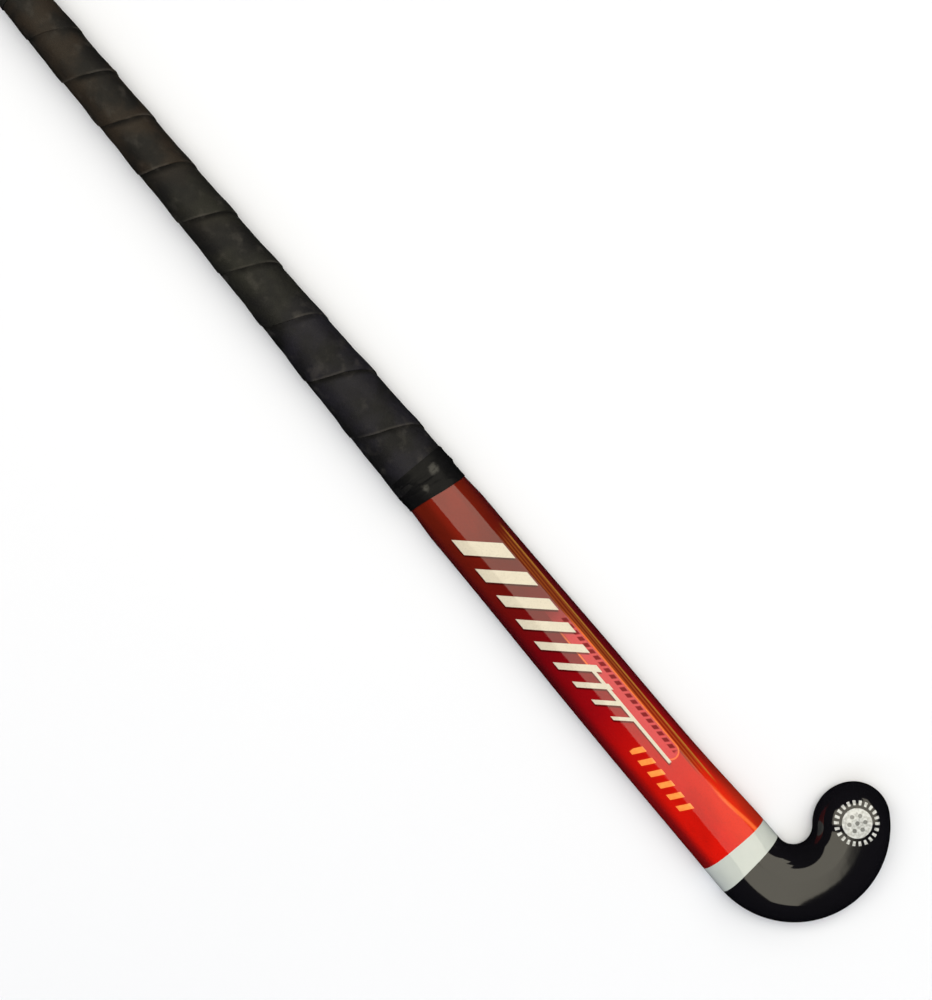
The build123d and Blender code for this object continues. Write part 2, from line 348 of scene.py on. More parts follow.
def band_rows():
    """Rings round the neck band, which turn from the shaft's section to the head's and lean over."""
    rows = []
    for t in np.linspace(0, 1, BAND_ROWS):
        profiles = SHAFT_PROFILES + (HEAD_PROFILES - SHAFT_PROFILES) * ease(t)
        rows.append(lean_to_band_end(shaft_row(BAND_START + (BAND_END_X - BAND_START) * t, profiles), t))
    return rows


def skin_piece(name, rows, depth, material, slot, node):
    """A closed skin over part of the blade."""
    columns = len(rows[0])
    obj = make_piece(name, np.vstack(rows), grid_faces(len(rows), columns), material, slot, node)
    thicken(obj, depth)
    shade(obj)
    return obj


# ---------------------------------------------------------------- the handle's sections

CORNER_POINTS = 20
FACE_POINTS = 6
MIDDLE_X = 200.0  # shares of the way round are measured here
HANDLE_GIRTH = 96.0


def handle_ring(x, depth):
    """A ring round the handle, let in by depth, from the heel side over the back and on under the face."""
    half, low, high, near, far = (smooth_curve(HANDLE_STATIONS, column, x) for column in range(1, 6))
    half, low, high, near, far = half - depth, low + depth, high - depth, near - depth, far - depth
    corners = [
        (-half + far, high - far, far, 180, 90),
        (half - far, high - far, far, 90, 0),
        (half - near, low + near, near, 0, -90),
        (-half + near, low + near, near, -90, -180),
    ]
    arcs = []
    for y, z, radius, start, end in corners:
        angles = np.radians(np.linspace(start, end, CORNER_POINTS))
        arcs.append(np.column_stack([y + radius * np.cos(angles), z + radius * np.sin(angles)]))
    # the face is wide and flat, so it gets points of its own between its two edges
    share = np.linspace(0, 1, FACE_POINTS + 2)[1:-1, None]
    face = arcs[2][-1] + (arcs[3][0] - arcs[2][-1]) * share
    ring = np.vstack([arcs[0], arcs[1], arcs[2], face, arcs[3]])
    return np.column_stack([np.full(len(ring), x), ring])


HANDLE_X = np.arange(0.0, SHOULDER_X + 1.0)
HANDLE_SURFACE = np.array([handle_ring(x, 0.0) for x in HANDLE_X])
HANDLE_INWARDS = np.array([handle_ring(x, 1.0) for x in HANDLE_X]) - HANDLE_SURFACE
COLUMNS = HANDLE_SURFACE.shape[1]


def handle_share():
    """How far round the handle each column of its rings lies, 0 to 1, from the heel side over the back."""
    ring = handle_ring(MIDDLE_X, 0.0)
    lengths = np.linalg.norm(np.roll(ring, -1, axis=0) - ring, axis=1)
    return np.concatenate([[0], np.cumsum(lengths)[:-1]]) / lengths.sum()


def handle_points(x, depth):
    """Points on the handle's rings, let in by depth. x and depth have a row of values for each column."""
    i = np.clip(x.astype(int), 0, len(HANDLE_X) - 2)
    t = (x - i)[..., None]
    column = np.arange(COLUMNS)[:, None]
    surface = HANDLE_SURFACE[i, column] * (1 - t) + HANDLE_SURFACE[i + 1, column] * t
    inwards = HANDLE_INWARDS[i, column] * (1 - t) + HANDLE_INWARDS[i + 1, column] * t
    return surface + inwards * depth[..., None]


def ripple(x, turn, seed, waves=7, shortest=14.0, longest=90.0):
    """A smooth seeded wave over the handle, mostly -1 to 1. turn is a share of the way round, 0 to 1."""
    draw = np.random.default_rng(seed)
    total = 0.0
    for _ in range(waves):
        length = draw.uniform(shortest, longest)
        around = int(draw.integers(-3, 4))
        total = total + np.sin(2 * math.pi * (x / length + around * turn + draw.uniform()))
    return total * 0.8 / math.sqrt(waves)


def wound_faces(count, shift):
    """Quads of a tube made of columns of count points. Across its seam they join points shift apart."""
    faces = []
    for c in range(COLUMNS):
        after = (c + 1) % COLUMNS
        ahead = shift if after == 0 else 0
        for r in range(count - 1 - ahead):
            here, there = c * count + r, after * count + r + ahead
            faces.append((here, there, there + 1, here + 1))
    return faces


def folds(x, share, girth, draw, count, places, angle_spread, lengths, widths, heights):
    """Short ridges over the handle, each at a place and angle of its own. places draws a ridge's x."""
    total = np.zeros(np.broadcast(x, share).shape)
    for _ in range(count):
        at_x, at_share = places(draw), draw.uniform()
        angle = draw.normal(math.pi / 2, angle_spread)
        length, width, height = draw.uniform(*lengths), draw.uniform(*widths), draw.uniform(*heights)
        dx = x - at_x
        dy = ((share - at_share + 0.5) % 1.0 - 0.5) * girth
        along = dx * math.cos(angle) + dy * math.sin(angle)
        across = -dx * math.sin(angle) + dy * math.cos(angle)
        total += height * np.exp(-((across / width) ** 2) - (along / length) ** 2)
    return total


# ---------------------------------------------------------------- the wound grip

FIRST_EDGE = 32.0  # where the strip's raised edge first crosses the heel side
FIRST_PITCH = 32.9
PITCH_GROWTH = 0.78
TURNS = np.arange(-2, 11)
STRIP_LEVEL = -0.9  # depth of the strip's outer face where it is single; less than 0 is outside the handle
STRIP_INSIDE = -0.55
STRIP_THINNEST = 0.26
OVERLAP_RISE = 0.52
RISE_END = GRIP_END - 6.0  # the overlaps get flatter toward here
OVERLAP_WIDTH = 4.0
OVERLAP_RAMP = 15.0
EDGE_ROUND = 0.45
LEAST_RISE = 0.05  # above what the rounded edge takes away
END_TAPER = 3.0  # the strip thins over this length at the cap and at its lower end
INNER_MARK = 50.0  # the marks' value inside, clear of every edge
INSIDE_STEPS = 60
# Steps along one turn, closest together by its two edges
TURN_STEPS = np.concatenate([
    [0, 0.01, 0.025], np.linspace(0.05, 0.93, 34), [0.95, 0.965, 0.977, 0.986, 0.993, 1.0]])


def strip_edge(turns):
    """Where the strip's raised edge lies, a number of turns after it first crosses the heel side."""
    uneven = 0.9 * ripple(turns * 37.0, 0.0, seed=11)
    return FIRST_EDGE + FIRST_PITCH * turns + PITCH_GROWTH * turns**2 + uneven


def strip_rise(gap, step):
    """How far the strip stands above its single level, a gap before its raised edge, which is step high."""
    ramp = np.clip((OVERLAP_WIDTH + OVERLAP_RAMP - gap) / OVERLAP_RAMP, 0, 1)
    bend = np.clip((EDGE_ROUND - gap) / EDGE_ROUND, 0, 1)
    return step * ease(ramp) - EDGE_ROUND * (1 - np.sqrt(1 - bend**2))


def pucker_place(draw):
    """Puckers lie just behind the strip's raised edge."""
    turns = draw.uniform(-0.5, 9.8)
    return strip_edge(turns) - draw.uniform(1.0, 9.0)


def strip_relief(x, share):
    """The strip's loose places and puckers, which the tape holds down."""
    puff = 0.12 * ripple(x, share, seed=5)
    puff = puff + 0.05 * ripple(x, share, seed=6, waves=9, shortest=6.0, longest=18.0)
    puckers = folds(x, share, HANDLE_GIRTH, np.random.default_rng(41), count=84, places=pucker_place,
                    angle_spread=0.5, lengths=(3.0, 9.0), widths=(0.7, 1.5), heights=(-0.35, 0.42))
    return puff + puckers * np.clip((TAPE_START - 1.0 - x) / 6.0, 0, 1)


def strip_faces(outer_count, inner_count):
    """Quads of the strip's outer face, its inner face, and the two ends that join them."""
    base = COLUMNS * outer_count
    faces = wound_faces(outer_count, len(TURN_STEPS))
    faces += [tuple(base + i for i in face) for face in wound_faces(inner_count, 0)]
    for c in range(COLUMNS):
        after = (c + 1) % COLUMNS
        first, next_first = c * outer_count, after * outer_count
        inner, next_inner = base + c * inner_count, base + after * inner_count
        last, next_last = first + outer_count - 1, next_first + outer_count - 1
        faces.append((last, next_last, next_inner, inner))
        faces.append((inner + inner_count - 1, next_inner + inner_count - 1, next_first, first))
    return faces


def wound_strip(material):
    """The grip: a strip wound in overlapping turns, whose raised edges face the head."""
    share = handle_share()[:, None, None]
    turns = TURNS[None, :, None] + share
    start, end = strip_edge(turns), strip_edge(turns + 1)
    x = start + (end - start) * TURN_STEPS
    step = OVERLAP_RISE * (1 + 0.28 * ripple(end, 0.0, seed=23))
    step = step * np.clip((RISE_END - end) / 14.0, 0.2, 1.0)
    rise = strip_rise(end - x, np.maximum(step, EDGE_ROUND + LEAST_RISE))
    held = np.clip(x, GRIP_START, GRIP_END)
    ends = np.clip(np.minimum(held - GRIP_START, GRIP_END - held) / END_TAPER, 0.0, 1.0)
    depth = STRIP_LEVEL * (0.7 + 0.3 * ends) - (rise + strip_relief(held, share)) * ends
    depth = np.minimum(depth, STRIP_INSIDE - STRIP_THINNEST * ends)

    inside_x = np.tile(np.linspace(GRIP_END, GRIP_START, INSIDE_STEPS), (COLUMNS, 1))
    outside = handle_points(held.reshape(COLUMNS, -1), depth.reshape(COLUMNS, -1))
    inside = handle_points(inside_x, np.full(inside_x.shape, STRIP_INSIDE))
    marks = {"since_edge": x - start, "before_edge": end - x, "turn": turns + 0 * x}
    inner_marks = np.full(inside_x.size, INNER_MARK)
    marks = {name: np.concatenate([values.ravel(), inner_marks]) for name, values in marks.items()}
    points = np.vstack([outside.reshape(-1, 3), inside.reshape(-1, 3)])
    faces = strip_faces(outside.shape[1], inside.shape[1])
    obj = make_piece("wound_grip", points, faces, material, "grip_leather", "grip_strip", **marks)
    shade(obj, 50)


# ---------------------------------------------------------------- the finish tape

TAPE_OVER_GRIP = -1.3
TAPE_ON_SLEEVE = -0.42
TAPE_LAYER = 0.34
TAPE_SHOULDER = 394.5  # the tape slopes from here down to the sleeve
TAPE_SKEW = 2.3  # its lower edge reaches further on the toe side by twice this
TAPE_GIRTH = HANDLE_GIRTH + 16.0
TAPE_STEPS = 100
LAP_X, LAP_SLANT, LAP_RISE = 398.52, 16.0, 0.16  # the edge of its outer turn, which slants round the handle
DEEPEST_CREASE = 0.12
SHINY_SPOTS = [(393.0, 8.0, 4.2), (395.0, -10.0, 3.8), (399.5, -3.5, 2.6)]  # x, y and radius


def crinkled_tape(material):
    """The tape that closes the grip's lower end, with its folds and its uneven edge."""
    share = handle_share()[:, None]
    t = np.linspace(0, 1, TAPE_STEPS)[None, :]
    edge = TAPE_END - TAPE_SKEW * np.cos(2 * math.pi * share) + 0.7 * ripple(0.0, share, seed=31)
    x = TAPE_START + (edge - TAPE_START) * t
    slope = np.clip((x - TAPE_SHOULDER) / (TAPE_FOOT - TAPE_SHOULDER), 0, 1)
    level = TAPE_OVER_GRIP + (TAPE_ON_SLEEVE - TAPE_OVER_GRIP) * slope
    rim = np.clip(np.minimum(x - TAPE_START, edge - x) / 0.8, 0, 1)
    lap = LAP_RISE * np.clip((x - (LAP_X - LAP_SLANT * share)) / 0.4, 0, 1)
    creases = folds(x, share, TAPE_GIRTH, np.random.default_rng(77), count=64,
                    places=lambda draw: draw.uniform(TAPE_START, TAPE_END),
                    angle_spread=0.6, lengths=(2.5, 8.0), widths=(0.45, 1.1), heights=(-0.25, 0.42))
    relief = 0.10 * ripple(x, share, seed=33, waves=9, shortest=5.0, longest=16.0)
    relief = (relief + creases + lap) * rim
    outside = handle_points(x, level - np.maximum(relief, -DEEPEST_CREASE))
    inside = handle_points(x[:, ::-1], (level + TAPE_LAYER)[:, ::-1])
    points = np.concatenate([outside, inside, outside[:, :1]], axis=1)
    obj = make_piece("crinkled_tape", points.reshape(-1, 3), wound_faces(points.shape[1], 0), material,
                     "tape_pvc", "finish_tape")
    shade(obj, 60)


# ---------------------------------------------------------------- the badge on the toe

FAR_ABOVE = 60.0
BADGE_LIFT = 0.10
BADGE_SINK = 0.06
DISC_RADIUS = 9.2
TICK_INNER, TICK_OUTER = 11.0, 13.8
TICKS = 22
TICK_SHARE = 0.48  # of the pitch
DIMPLES = 6  # round the middle one
DIMPLE_RING = 4.9


def surface_above(obj):
    """A function that finds the top of a piece and its direction there, at a place in plan."""
    tree = BVHTree.FromObject(obj, bpy.context.evaluated_depsgraph_get())

    def find(x, y):
        place, normal, _, _ = tree.ray_cast(stick_place(x, y, FAR_ABOVE), Vector((0, 0, -1)))
        return np.array(place) / MM - ORIGIN, np.array(normal)

    return find


def plate(find, rows, columns, plan, disc=False):
    """A thin plate laid on a surface. plan gives each grid point's place, from two shares of 0 to 1.

    A disc's columns close into a ring and its first row is its centre.
    """
    top, bottom = [], []
    for r in np.linspace(0, 1, rows):
        for c in np.linspace(0, 1, columns, endpoint=not disc):
            place, normal = find(*plan(r, c))
            top.append(place + normal * BADGE_LIFT)
            bottom.append(place - normal * BADGE_SINK)
    size = rows * columns
    faces = []
    for r in range(rows - 1):
        for c in range(columns if disc else columns - 1):
            here, there = r * columns + c, r * columns + (c + 1) % columns
            quad = (here, there, there + columns, here + columns)
            faces += [quad, tuple(size + i for i in reversed(quad))]
    around = [(rows - 1) * columns + c for c in range(columns)]
    if not disc:
        around += [r * columns + columns - 1 for r in range(rows - 2, -1, -1)]
        around += list(range(columns - 2, -1, -1))
        around += [r * columns for r in range(1, rows - 1)]
    for here, there in zip(around, around[1:] + around[:1]):
        faces.append((here, size + here, size + there, there))
    return np.array(top + bottom), faces


def ring_place(radius, degrees):
    """A place in plan at a radius and an angle from the badge's centre."""
    return np.array([BADGE_X, BADGE_Y]) + radius * unit(degrees)


def disc_plan(r, c):
    """A place in the disc."""
    return ring_place(DISC_RADIUS * r, 360 * c)


def tick_plan(k):
    """The places in one of the ticks."""
    pitch = 360 / TICKS

    def plan(r, c):
        radius = TICK_INNER + (TICK_OUTER - TICK_INNER) * r
        return ring_place(radius, k * pitch + pitch * TICK_SHARE * (c - 0.5))

    return plan


def toe_badge(head, material):
    """A plain printed mark: a disc with a ring of short ticks round it."""
    find = surface_above(head)
    plates = [plate(find, rows=12, columns=60, plan=disc_plan, disc=True)]
    plates += [plate(find, rows=6, columns=5, plan=tick_plan(k)) for k in range(TICKS)]
    points, faces = [], []
    for top, quads in plates:
        base = sum(len(p) for p in points)
        points.append(top)
        faces += [tuple(base + i for i in quad) for quad in quads]
    obj = make_piece("badge_print", np.vstack(points), faces, material, "badge_print", "toe_badge")
    shade(obj, 50)


# ---------------------------------------------------------------- material making


def srgb(red, green, blue):
    """The linear colour that shaders take, from display values of 0 to 255."""
    shares = [value / 255 for value in (red, green, blue)]
    linear = [v / 12.92 if v <= 10 / 255 else ((v + 0.055) / 1.055) ** 2.4 for v in shares]
    return (*linear, 1.0)


class Value:
    """A number that varies over a surface: an output of a material's nodes, with arithmetic."""

    def __init__(self, paint, socket):
        self.paint = paint
        self.socket = socket

    def __add__(self, other):
        return self.paint.math("ADD", self, other)

    def __radd__(self, other):
        return self.paint.math("ADD", other, self)

    def __sub__(self, other):
        return self.paint.math("SUBTRACT", self, other)

    def __rsub__(self, other):
        return self.paint.math("SUBTRACT", other, self)

    def __mul__(self, other):
        return self.paint.math("MULTIPLY", self, other)

    def __rmul__(self, other):
        return self.paint.math("MULTIPLY", other, self)

    def __truediv__(self, other):
        return self.paint.math("DIVIDE", self, other)


class Paint:
    """One material's nodes. x, y and z are the place on the stick, in millimetres of stick coordinates."""

    def __init__(self, name, **constants):
        self.material = bpy.data.materials.new(name)
        self.material.use_nodes = True
        self.tree = self.material.node_tree
        self.shader = self.tree.nodes["Principled BSDF"]
        for key, value in constants.items():
            self.shader.inputs[key.replace("_", " ")].default_value = value
        place = self.tree.nodes.new("ShaderNodeTexCoord")
        shifted = self.tree.nodes.new("ShaderNodeMapping")
        shifted.inputs["Location"].default_value = (-ORIGIN).tolist()
        shifted.inputs["Scale"].default_value = (1 / MM, 1 / MM, 1 / MM)
        self.tree.links.new(place.outputs["Object"], shifted.inputs["Vector"])
        self.place = shifted.outputs["Vector"]
        split = self.tree.nodes.new("ShaderNodeSeparateXYZ")
        self.tree.links.new(self.place, split.inputs[0])
        self.x, self.y, self.z = (Value(self, split.outputs[i]) for i in range(3))

    def put(self, value, socket):
        """Feeds a Value, a plain number or a colour into a socket."""
        if isinstance(value, Value):
            self.tree.links.new(value.socket, socket)
        else:
            socket.default_value = value

    def math(self, operation, *values):
        node = self.tree.nodes.new("ShaderNodeMath")
        node.operation = operation
        for value, socket in zip(values, node.inputs):
            self.put(value, socket)
        return Value(self, node.outputs[0])

    def step(self, value, start, end):
        """0 up to start, 1 from end on, and smooth between."""
        node = self.tree.nodes.new("ShaderNodeMapRange")
        node.interpolation_type = "SMOOTHSTEP"
        self.put(value, node.inputs["Value"])
        self.put(start, node.inputs["From Min"])
        self.put(end, node.inputs["From Max"])
        return Value(self, node.outputs["Result"])

    def distance(self, x, y, at_x, at_y):
        """How far (x, y) is from a point."""
        dx, dy = x - float(at_x), y - float(at_y)
        return self.math("SQRT", dx * dx + dy * dy)

    def between(self, value, low, high, soft=0.15):
        """1 between low and high, with soft edges."""
        return self.step(value, low - soft, low + soft) * (1.0 - self.step(value, high - soft, high + soft))

    def mix(self, share, first, second):
        """The first colour, with a share of the second over it."""
        node = self.tree.nodes.new("ShaderNodeMix")
        node.data_type = "RGBA"
        self.put(share, node.inputs[0])
        self.put(first, node.inputs[6])
        self.put(second, node.inputs[7])
        return Value(self, node.outputs[2])

    def ramp(self, value, stops):
        """A colour that runs smoothly through stops of (position, colour)."""
        node = self.tree.nodes.new("ShaderNodeValToRGB")
        elements = node.color_ramp.elements
        while len(elements) < len(stops):
            elements.new(1.0)
        for element, (position, colour) in zip(elements, stops):
            element.position = position
            element.color = colour
        self.put(value, node.inputs[0])
        return Value(self, node.outputs[0])

    def noise(self, size, detail, stretch=(1, 1, 1)):
        """Noise of 0 to 1 with features of about size millimetres, stretched along the axes."""
        mapping = self.tree.nodes.new("ShaderNodeMapping")
        mapping.inputs["Scale"].default_value = [1 / (size * s) for s in stretch]
        self.tree.links.new(self.place, mapping.inputs["Vector"])
        node = self.tree.nodes.new("ShaderNodeTexNoise")
        node.inputs["Scale"].default_value = 1.0
        node.inputs["Detail"].default_value = detail
        self.tree.links.new(mapping.outputs["Vector"], node.inputs["Vector"])
        return Value(self, node.outputs["Fac"])

    def cells(self, size):
        """Distance from the edges of cells of about size millimetres."""
        node = self.tree.nodes.new("ShaderNodeTexVoronoi")
        node.feature = "DISTANCE_TO_EDGE"
        node.inputs["Scale"].default_value = 1 / size
        self.tree.links.new(self.place, node.inputs["Vector"])
        return Value(self, node.outputs["Distance"])

    def mark(self, name):
        """A value that the mesh carries at its points."""
        node = self.tree.nodes.new("ShaderNodeAttribute")
        node.attribute_name = name
        return Value(self, node.outputs["Fac"])

    def colour(self, value):
        self.put(value, self.shader.inputs["Base Color"])

    def coat(self, value):
        self.put(value, self.shader.inputs["Coat Weight"])

    def rough(self, value):
        self.put(value, self.shader.inputs["Roughness"])

    def bump(self, height, depth, coat=False):
        """Relief of a height of 0 to 1, depth millimetres deep; coat gives the lacquer the same relief."""
        node = self.tree.nodes.new("ShaderNodeBump")
        node.inputs["Distance"].default_value = depth * MM
        self.put(height, node.inputs["Height"])
        self.tree.links.new(node.outputs["Normal"], self.shader.inputs["Normal"])
        if coat:
            self.tree.links.new(node.outputs["Normal"], self.shader.inputs["Coat Normal"])


# ---------------------------------------------------------------- the stick's materials

CREAM = srgb(216, 208, 194)
GOLD = srgb(176, 124, 52)
ORANGE = srgb(250, 120, 62)
AMBER = srgb(255, 172, 84)
ROSE = srgb(205, 58, 66)

# The shaft's ground colour, by how far along the fade from tape to neck
FADE = [
    (0.0, srgb(98, 26, 14)), (0.18, srgb(102, 17, 14)), (0.38, srgb(112, 6, 15)),
    (0.62, srgb(146, 8, 16)), (0.82, srgb(192, 17, 11)), (1.0, srgb(208, 22, 13)),
]
FADE_SPAN = (395.0, 700.0)
# Bars printed on the shaft: where each starts, its width, and its reach from the heel side to the toe side
BARS = [
    (444.0, 12.0, -11.5, 11.2),
    (467.0, 10.5, -11.8, 11.2),
    (488.0, 9.0, -12.2, 11.2),
    (507.0, 7.8, -12.6, 10.6),
    (524.5, 6.6, -12.6, 9.0),
    (541.0, 5.6, -12.0, 7.2),
    (556.0, 4.6, -10.5, 5.6),
    (570.0, 3.8, -8.6, 3.6),
    (583.0, 3.0, -6.2, 3.6),
]
BAR_LEAN = 0.95
FLASH_END, FLASH_Y, FLASH_RADIUS = 617.0, 8.2, 4.0
DARK_PITCH, AMBER_PITCH = 5.0, 9.0
RULE_PITCH = 1.7


def shaft_ground(p):
    """The red fade, a little mottled, with painted shade darkening both sides, a painted warm highlight by
    the tape and a painted orange highlight toward the neck.
    """
    x, y = p.x, p.y
    fade = p.ramp(p.step(x, *FADE_SPAN), FADE)
    # painted shade: the red darkens toward both sides of the shaft
    side = p.math("ABSOLUTE", y - p.step(x, 560.0, 700.0) * 1.4)
    fade = p.mix(p.step(side, 14.5, 21.0) * 0.75, fade, srgb(62, 12, 20))
    # painted highlight: a lighter, warmer patch across the back just below the tape
    painted_highlight_by_tape = (1.0 - p.step(x, 425.0, 470.0)) * p.between(y, -8.0, 11.0, 3.5)
    fade = p.mix(painted_highlight_by_tape * 0.6, fade, srgb(140, 34, 20))
    # painted highlight: an orange glow on the back toward the neck, from its middle to its toe side
    fade = p.mix(p.step(x, 610.0, 680.0) * p.step(y, -4.0, 12.0) * 0.35, fade, srgb(232, 66, 30))
    mottle = p.noise(16.0, 4.0, (2.5, 1, 1))
    return p.mix(p.step(mottle, 0.42, 0.68) * 0.22, fade, srgb(60, 8, 8))


def gold_panel(p, fade, over):
    """A brown-gold panel along the toe side, ruled with fine lines, and a pinstripe."""
    x, y = p.x, p.y
    panel = p.between(x, 452.0, 636.0, 9.0) * p.step(y, 11.2, 13.0) * (1.0 - p.step(y, 16.4, 18.4)) * over
    rule = p.math("SINE", (y + 0.012 * x) * (2 * math.pi / RULE_PITCH)) * 0.5 + 0.5
    gold = p.mix(rule, srgb(84, 30, 14), srgb(150, 84, 36))
    fade = p.mix(panel * (0.45 + 0.4 * p.noise(24.0, 2.0, (2, 1, 1))), fade, gold)
    pinstripe = p.between(y, 17.0, 17.8) * p.between(x, 448.0, 646.0, 6.0)
    return p.mix(pinstripe * over * 0.7, fade, GOLD)


def rounded_flash(p, fade, over):
    """A long flash, rose inside an orange outline, with a row of dark dashes. Gives the dashes too."""
    x, y = p.x, p.y
    past_end = p.math("MAXIMUM", x - FLASH_END, 0.0)
    reach = p.distance(past_end, y, 0.0, FLASH_Y)
    inside = (1.0 - p.step(reach, FLASH_RADIUS, FLASH_RADIUS + 0.5)) * p.step(x, 498.0, 530.0) * over
    outline = p.between(reach, FLASH_RADIUS + 0.4, FLASH_RADIUS + 1.4, 0.25)
    outline = outline * p.step(x, 506.0, 532.0) * over
    fade = p.mix(inside * 0.85, fade, ROSE)
    fade = p.mix(outline * 0.75, fade, ORANGE)
    phase = p.math("FRACT", (x - y * 0.7) / DARK_PITCH)
    dashes = p.between(phase, 0.16, 0.80, 0.08) * p.between(y, 9.0, 11.8, 0.3)
    dashes = dashes * p.between(x, 512.0, 619.0, 1.0)
    return p.mix(dashes * over * 0.85, fade, srgb(104, 6, 14)), dashes * over


def leaning_bars(p, over, shift_x, shift_y):
    """The plain bars that lean forward, and the long stripe that runs on from them."""
    x, y = p.x - shift_x, p.y - shift_y
    lean = x - y * BAR_LEAN
    bars = 0.0
    for start, width, low, high in BARS:
        bars = bars + p.between(lean, start, start + width) * p.between(y, low, high)
    stripe = p.between(y, 2.6, 4.5) * p.between(x, 545.0, 622.0, 0.5)
    return p.math("MINIMUM", (bars + stripe) * over, 1.0)


def amber_dashes(p, fade, over):
    """Small amber dashes, and an orange flick by the neck."""
    x, y = p.x, p.y
    phase = p.math("FRACT", (x - y * 0.5 - 604.0) / AMBER_PITCH)
    amber = p.between(phase, 0.12, 0.56, 0.03) * p.between(y, -11.0, -3.0) * p.between(x, 601.0, 652.5, 0.4)
    fade = p.mix(amber * over, fade, p.mix(p.noise(3.0, 3.0), AMBER, ORANGE))
    flick = p.between(y - p.step(x, 655.0, 690.0) * 3.5, 13.0, 15.0, 0.7) * p.step(x, 640.0, 668.0)
    return p.mix(flick * over * 0.7, fade, ORANGE)


def face_lines(p, fade):
    """A cream line and a gold pinstripe on the flat face."""
    under = 1.0 - p.step(p.z, 0.5, 1.5)
    fade = p.mix(p.between(p.y, -3.0, -1.0) * p.between(p.x, 440.0, 640.0, 20.0) * under, fade, CREAM)
    return p.mix(p.between(p.y, -6.0, -5.0) * p.between(p.x, 440.0, 660.0, 20.0) * under, fade, GOLD)


def shaft_print():
    """Printed film under gloss lacquer: a red fade with plain bars, stripes and dashes."""
    p = Paint("shaft_print", Specular_IOR_Level=0.0, Coat_Roughness=0.06, Coat_IOR=1.45)
    over = p.step(p.z, 7.0, 10.0)  # the part of the section that is seen from above
    fade = gold_panel(p, shaft_ground(p), over)
    fade, dashes = rounded_flash(p, fade, over)
    # the bars' cream has a thin dark shadow
    fade = p.mix(leaning_bars(p, over, 0.9, -0.8) * 0.7, fade, srgb(48, 4, 6))
    cream = p.mix(p.noise(5.0, 3.0), CREAM, srgb(204, 196, 182))
    fade = p.mix(leaning_bars(p, over, 0.0, 0.0), fade, cream)
    fade = face_lines(p, amber_dashes(p, fade, over))
    p.colour(p.mix(p.step(p.noise(1.1, 4.0), 0.45, 0.8) * 0.12, fade, srgb(30, 6, 6)))
    # the lacquer shines less over the dashes and toward the neck
    p.coat((1.0 - 0.75 * dashes) * (1.0 - 0.45 * p.step(p.x, 560.0, 680.0)))
    p.rough(0.30 + 0.14 * p.noise(7.0, 2.0))
    p.bump(p.noise(9.0, 2.0), 0.012, coat=True)
    return p.material


def lacquer(name, light, dark, size, coat_rough, base_rough):
    """A gloss lacquer with faint mottling and orange peel."""
    p = Paint(name, Specular_IOR_Level=0.0, Coat_Weight=1.0, Coat_Roughness=coat_rough, Coat_IOR=1.5)
    p.colour(p.mix(p.noise(size, 4.0), light, dark))
    p.rough(base_rough + 0.12 * p.noise(5.0, 3.0))
    p.bump(p.noise(10.0, 2.0), 0.014, coat=True)
    return p.material


def badge_print():
    """White print with grey dimples inside the disc."""
    p = Paint("badge_print", Specular_IOR_Level=0.1, Coat_Weight=1.0, Coat_Roughness=0.05)
    dimples = 0.0
    for centre in [ring_place(0, 0)] + [ring_place(DIMPLE_RING, k * 360 / DIMPLES) for k in range(DIMPLES)]:
        dimples = dimples + (1.0 - p.step(p.distance(p.x, p.y, *centre), 1.2, 1.5))
    worn = p.step(p.noise(1.6, 5.0), 0.30, 0.62)
    white = p.mix(worn, srgb(160, 162, 164), srgb(206, 209, 213))
    p.colour(p.mix(p.math("MINIMUM", dimples, 1.0) * 0.8, white, srgb(92, 94, 94)))
    p.rough(0.35 + 0.2 * p.noise(2.0, 3.0))
    return p.material


def grip_leather():
    """Synthetic leather: near black, browner toward the butt, finely grained, with painted shade, partly
    dirt, at the foot of each raised edge, and a painted highlight, partly wear, along the raised edges.
    """
    p = Paint("grip_leather", Specular_IOR_Level=0.22)
    brown = p.mix(p.step(p.noise(20.0, 3.0), 0.35, 0.65), srgb(44, 36, 29), srgb(24, 23, 23))
    grey = p.mix(p.step(p.noise(24.0, 3.0), 0.35, 0.65), srgb(34, 34, 30), srgb(22, 22, 24))
    blue = p.mix(p.step(p.noise(22.0, 3.0), 0.35, 0.65), srgb(28, 27, 37), srgb(18, 18, 21))
    # each turn of the strip takes its tone from a little further up or down
    place = p.x + p.math("SINE", p.math("FLOOR", p.mark("turn")) * 2.4) * 28.0
    base = p.mix(p.step(place, 130.0, 210.0), brown, grey)
    base = p.mix(p.step(place, 220.0, 300.0), base, blue)
    since, before = p.mark("since_edge"), p.mark("before_edge")
    # painted shade at the foot of each raised edge, partly dirt; the surface is rougher there too
    edge_shade_and_grime = (1.0 - p.step(since, 0.5, 3.0 + 4.0 * p.noise(9.0, 2.0))) * 0.95
    edge_shade_and_grime = edge_shade_and_grime * (0.3 + 0.7 * p.step(p.noise(17.0, 2.0), 0.36, 0.58))
    base = p.mix(edge_shade_and_grime, base, srgb(6, 6, 7))
    grain = p.cells(0.9)
    base = p.mix((1.0 - p.step(grain, 0.0, 0.16)) * 0.35, base, srgb(14, 13, 13))
    # painted highlight on top of each raised edge, partly wear; the scattered lighter patches are wear
    edge_highlight_and_rubbing = (1.0 - p.step(before, 0.2, 2.2)) * p.step(p.noise(15.0, 2.0), 0.4, 0.6)
    rubbing_and_edge_highlight = p.step(p.noise(9.0, 4.0), 0.54, 0.75) * 0.20 + edge_highlight_and_rubbing * 0.3
    base = p.mix(rubbing_and_edge_highlight, base, srgb(84, 80, 76))
    p.colour(base)
    p.rough(0.48 + 0.2 * p.noise(6.0, 3.0) + 0.3 * edge_shade_and_grime)
    relief = p.step(grain, 0.0, 0.3) * 0.5 + p.noise(2.5, 5.0) * 0.5
    p.bump(relief, 0.12)
    return p.material


